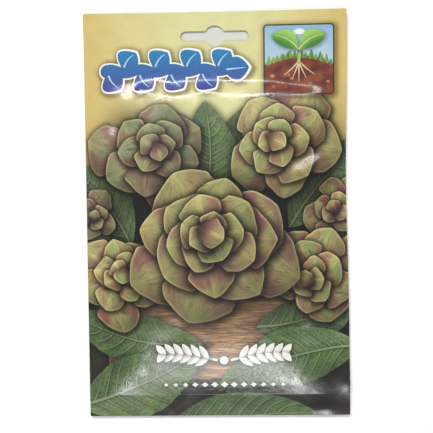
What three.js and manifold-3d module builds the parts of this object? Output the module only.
// A retail seed packet lying on its back: two laminated paper webs heat-sealed to each other
// round their border, with a header that carries a hang slot, and loose seeds in the pocket.
//
// Units are millimetres. The origin is under the middle of the packet, on the surface that it
// lies on. +X runs to the right across the front, +Y up the front towards the hang slot, and
// +Z out of the printed front.

import * as THREE from "three";
import { mergeVertices } from "three/addons/utils/BufferGeometryUtils.js";
import Module from "manifold-3d";

// Driving dimensions of the sealed outline
const PACKET_WIDTH = 123;
const PACKET_HEIGHT = 190;
const HEADER_DEPTH = 32; // sealed flat from the top edge to where the pocket starts
const SIDE_SEAL = 7;
const BOTTOM_SEAL = 10;
const WEB_THICKNESS = 0.25;
const SEAL_GAP = 0.1; // left between the two webs where the real ones are welded
const WAIST_DEPTH = 1.0; // how far the filled pocket pulls the right side edge in
const WAIST_Y = 15;
const WAIST_REACH = 38;

// Driving dimensions of the hang slot, the usual 32 mm euro slot
const SLOT_WIDTH = 32;
const SLOT_HEIGHT = 5.0;
const SLOT_EYE_DIAMETER = 10;
const SLOT_FROM_TOP = 11.4;

// Driving dimensions of the bulge
const SEAL_HEIGHT = 1.4; // the seals hang this far above the surface, at the pocket's mid plane
const HEADER_CURL = 1.3; // how much higher the header's two corners stand
const BOTTOM_DROOP = 0.5; // how much lower the bottom edge lies
const PILLOW_RISE = 6.0; // the front's crest above its own seal
const SIDE_RAMP = 30;
const SIDE_FULLNESS = 2.2; // a higher power rises more steeply from the side seal
const BOTTOM_RAMP = 46;
const TOP_RAMP = 40;
const BACK_RAMP = 14; // the back reaches the surface this far inside the seals

// Under the header the front climbs a short steep facet to a ridge. The seal gathers the web at
// a few places: there the ridge comes nearer to the fold, and a shallow valley runs down from it.
const FACET_LENGTH = 7.2;
const FACET_SHARE = 0.5; // how much of the pillow's rise the facet makes
const GATHER_SHORTENS = 3.6;
const GATHERS = [
  { x: -35, reach: 6, strength: 1 },
  { x: -4, reach: 8, strength: 0.7 },
  { x: 27, reach: 7, strength: 0.25 },
];
const VALLEY_DEPTH = 0.7;
const VALLEY_LENGTH = 16;

// Driving dimensions of the seeds
const SEED_COUNT = 48;
const SEED_LENGTH = 7.4;
const SEED_WIDTH = 4.0;
const SEED_THICKNESS = 2.8;
const SEED_SPACING = 8.2; // between centres, so that no two touch however they lie
const SEED_REST_GAP = 0.15;
const SEED_FIELD = { left: -42, right: 42, bottom: -72, top: -4 };
const SEED_CROWDING = 1.5; // above 1, more seeds lie low in the pocket

// Worked out from the above
const HALF_WIDTH = PACKET_WIDTH / 2;
const HALF_HEIGHT = PACKET_HEIGHT / 2;
const POCKET_SIDE = HALF_WIDTH - SIDE_SEAL;
const POCKET_TOP = HALF_HEIGHT - HEADER_DEPTH;
const POCKET_BOTTOM = -HALF_HEIGHT + BOTTOM_SEAL;
const SLOT_Y = HALF_HEIGHT - SLOT_FROM_TOP;
const ROWS_STRAIGHT = 32; // grid rows this far below the header's fold are straight

const wasm = await Module();
wasm.setup();

function clamp01(value) {
  return Math.min(1, Math.max(0, value));
}

function smoothStep(value) {
  const t = clamp01(value);
  return t * t * (3 - 2 * t);
}

// The right edge draws in where the pocket is full: x moves towards the middle by a share.
function drawnIn(x, y) {
  if (x <= 0) return x;
  const share = Math.exp(-(((y - WAIST_Y) / WAIST_REACH) ** 2));
  return x * (1 - (WAIST_DEPTH * share) / HALF_WIDTH);
}

// How high the underside of the sealed border is above the surface.
function sealHeight(x, y) {
  const up = clamp01((y - POCKET_TOP) / HEADER_DEPTH);
  const down = clamp01((POCKET_BOTTOM - y) / BOTTOM_SEAL);
  return SEAL_HEIGHT + HEADER_CURL * up ** 2 * (x / HALF_WIDTH) ** 2 - BOTTOM_DROOP * down;
}

// How strongly the header's seal gathers the web at x, from 0 to about 1.
function gathered(x) {
  return GATHERS.reduce(
    (sum, gather) => sum + gather.strength * Math.exp(-(((x - gather.x) / gather.reach) ** 2)),
    0,
  );
}

function facetLength(x) {
  return FACET_LENGTH - GATHER_SHORTENS * gathered(x);
}

// The share of the pillow's rise that is reached this far below the header's fold.
function riseFromTop(x, fromTop) {
  const facet = clamp01(fromTop / facetLength(x));
  const slope = clamp01((fromTop - facetLength(x)) / TOP_RAMP);
  return FACET_SHARE * facet + (1 - FACET_SHARE) * (1 - (1 - slope) ** 2);
}

// How high the front stands above its seal.
function frontBulge(x, y) {
  const fromTop = POCKET_TOP - y;
  const side = clamp01((POCKET_SIDE - Math.abs(x)) / SIDE_RAMP);
  const low = clamp01((y - POCKET_BOTTOM) / BOTTOM_RAMP);
  const across = 1 - (1 - side) ** SIDE_FULLNESS;
  const rise = PILLOW_RISE * (1 - (1 - low) ** 2) * riseFromTop(x, fromTop);
  const valleyFade = clamp01(fromTop / facetLength(x)) * Math.exp(-fromTop / VALLEY_LENGTH);
  return across * (rise - VALLEY_DEPTH * gathered(x) * valleyFade);
}

// How far the back drops below its seal, down to flat on the surface.
function backDrop(x, y) {
  const side = smoothStep((POCKET_SIDE - Math.abs(x)) / BACK_RAMP);
  const low = smoothStep((y - POCKET_BOTTOM) / BACK_RAMP);
  const high = smoothStep((POCKET_TOP - y) / BACK_RAMP);
  return sealHeight(x, y) * side * low * high;
}

function backUnderside(x, y) {
  return sealHeight(x, y) - backDrop(x, y);
}

function frontUnderside(x, y) {
  return sealHeight(x, y) + WEB_THICKNESS + SEAL_GAP + frontBulge(x, y);
}

// The grid lines stand closer together where the webs bend more.
function gridColumns() {
  const inward = [0, 3, 7, 12, 18, 24, 30.5, 37, 43, 49];
  const left = inward.map((step) => -POCKET_SIDE + step);
  return [-HALF_WIDTH, ...left, 0, ...left.map((x) => -x).reverse(), HALF_WIDTH];
}

function gridRows() {
  const fromBottom = [0, 3.5, 8, 14, 22, 32, 44, 57, 70];
  const fromTop = [0, FACET_LENGTH / 2, FACET_LENGTH, 10, 14, 19, 25, 32, 41, 52, 64];
  const header = [0.25, 0.5, 0.75, 1].map((share) => POCKET_TOP + share * HEADER_DEPTH);
  return [
    -HALF_HEIGHT,
    ...fromBottom.map((step) => POCKET_BOTTOM + step),
    ...fromTop.map((step) => POCKET_TOP - step).reverse(),
    ...header,
  ];
}

// Near the top of the pocket the rows follow the ridge, and they straighten further down.
function rowHeightAt(row, x) {
  const fromTop = POCKET_TOP - row;
  if (fromTop <= 0 || fromTop >= ROWS_STRAIGHT) return row;
  const facet = facetLength(x);
  if (fromTop <= FACET_LENGTH) return POCKET_TOP - (fromTop * facet) / FACET_LENGTH;
  const below = (fromTop - FACET_LENGTH) / (ROWS_STRAIGHT - FACET_LENGTH);
  return POCKET_TOP - (facet + below * (ROWS_STRAIGHT - facet));
}

// A closed sheet of even thickness over the grid, whose underside is at height(x, y).
function sheetGeometry(underside) {
  const columns = gridColumns();
  const rows = gridRows();
  const positions = [];
  for (const lift of [0, WEB_THICKNESS]) {
    for (const row of rows) {
      for (const x of columns) {
        const y = rowHeightAt(row, x);
        positions.push(drawnIn(x, y), y, underside(x, y) + lift);
      }
    }
  }
  const across = columns.length;
  const layer = across * rows.length;
  const triangles = [];
  const quad = (a, b, c, d) => triangles.push(a, b, c, a, c, d);
  for (let row = 0; row + 1 < rows.length; row++) {
    for (let column = 0; column + 1 < across; column++) {
      const a = row * across + column;
      const b = a + 1;
      const c = b + across;
      const d = a + across;
      quad(a, d, c, b);
      quad(a + layer, b + layer, c + layer, d + layer);
    }
  }
  const rim = [];
  for (let column = 0; column + 1 < across; column++) rim.push(column);
  for (let row = 0; row + 1 < rows.length; row++) rim.push(row * across + across - 1);
  for (let column = across - 1; column > 0; column--) {
    rim.push((rows.length - 1) * across + column);
  }
  for (let row = rows.length - 1; row > 0; row--) rim.push(row * across);
  rim.forEach((from, index) => {
    const to = rim[(index + 1) % rim.length];
    quad(from, to, to + layer, from + layer);
  });
  const geometry = new THREE.BufferGeometry();
  geometry.setAttribute("position", new THREE.Float32BufferAttribute(positions, 3));
  geometry.setIndex(triangles);
  return geometry;
}

// The slot's outline: a bar with round ends, with a round eye in its middle.
function slotShape() {
  const barRadius = SLOT_HEIGHT / 2;
  const endX = SLOT_WIDTH / 2 - barRadius;
  const eyeRadius = SLOT_EYE_DIAMETER / 2;
  const meet = Math.asin(barRadius / eyeRadius);
  const shape = new THREE.Shape();
  shape.absarc(endX, SLOT_Y, barRadius, -Math.PI / 2, Math.PI / 2, false);
  shape.absarc(0, SLOT_Y, eyeRadius, meet, Math.PI - meet, false);
  shape.absarc(-endX, SLOT_Y, barRadius, Math.PI / 2, (3 * Math.PI) / 2, false);
  shape.absarc(0, SLOT_Y, eyeRadius, Math.PI + meet, 2 * Math.PI - meet, false);
  return shape;
}

function slotPunch() {
  const through = 12;
  const punch = new THREE.ExtrudeGeometry(slotShape(), {
    depth: through,
    bevelEnabled: false,
    curveSegments: 12,
  });
  punch.translate(0, 0, -through / 3);
  return punch;
}

function toSolid(geometry) {
  const bare = geometry.clone();
  bare.deleteAttribute("normal");
  bare.deleteAttribute("uv");
  const merged = mergeVertices(bare, 1e-4);
  return new wasm.Manifold(
    new wasm.Mesh({
      numProp: 3,
      vertProperties: new Float32Array(merged.attributes.position.array),
      triVerts: new Uint32Array(merged.index.array),
    }),
  );
}

function toGeometry(solid) {
  const mesh = solid.getMesh();
  const geometry = new THREE.BufferGeometry();
  geometry.setAttribute("position", new THREE.BufferAttribute(mesh.vertProperties, 3));
  geometry.setIndex(new THREE.BufferAttribute(mesh.triVerts, 1));
  geometry.computeVertexNormals();
  return geometry;
}

function webMesh(name, underside, material) {
  const punched = toSolid(sheetGeometry(underside)).subtract(toSolid(slotPunch()));
  const mesh = new THREE.Mesh(toGeometry(punched), material);
  mesh.name = name;
  return mesh;
}

// A repeatable random draw from 0 to 1.
function seededDraw(seed) {
  let state = seed;
  return () => {
    state = (state * 1103515245 + 12345) % 2147483648;
    return state / 2147483648;
  };
}

// One seed: a plump flattened drop, blunt at the top and narrower at the root end.
function seedGeometry() {
  const half = SEED_LENGTH / 2;
  const fullness = [
    [-1, 0],
    [-0.9, 0.42],
    [-0.5, 0.8],
    [0.1, 1],
    [0.62, 0.84],
    [0.93, 0.42],
    [1, 0],
  ];
  const profile = fullness.map(
    ([along, out]) => new THREE.Vector2((out * SEED_WIDTH) / 2, along * half),
  );
  const seed = new THREE.LatheGeometry(profile, 8);
  seed.scale(1, 1, SEED_THICKNESS / SEED_WIDTH);
  return seed;
}

// The seeds have slid towards the bottom seal and lie one deep on the back web.
function seedPlaces() {
  const draw = seededDraw(20417);
  const places = [];
  while (places.length < SEED_COUNT) {
    const x = SEED_FIELD.left + (SEED_FIELD.right - SEED_FIELD.left) * draw();
    const rise = (SEED_FIELD.top - SEED_FIELD.bottom) * draw() ** SEED_CROWDING;
    const y = SEED_FIELD.bottom + rise;
    const turn = draw() * 2 * Math.PI;
    const free = places.every((other) => Math.hypot(other.x - x, other.y - y) > SEED_SPACING);
    if (free) places.push({ x, y, turn });
  }
  return places;
}

const frontPaper = new THREE.MeshStandardMaterial({ color: 0xcfc68a, roughness: 0.3 });
const backPaper = new THREE.MeshStandardMaterial({ color: 0xe6e2c8, roughness: 0.35 });
const seedCoat = new THREE.MeshStandardMaterial({ color: 0x8a7b62, roughness: 0.65 });

const packet = new THREE.Group();
packet.add(webMesh("front_web", frontUnderside, frontPaper));
packet.add(webMesh("back_web", backUnderside, backPaper));

const looseSeeds = new THREE.Group();
const seedHeight = WEB_THICKNESS + SEED_REST_GAP + SEED_THICKNESS / 2;
seedPlaces().forEach((place, index) => {
  const seed = new THREE.Mesh(seedGeometry(), seedCoat);
  seed.name = `seed_${String(index + 1).padStart(2, "0")}`;
  seed.position.set(place.x, place.y, seedHeight);
  seed.rotation.z = place.turn;
  looseSeeds.add(seed);
});
packet.add(looseSeeds);

export default packet;
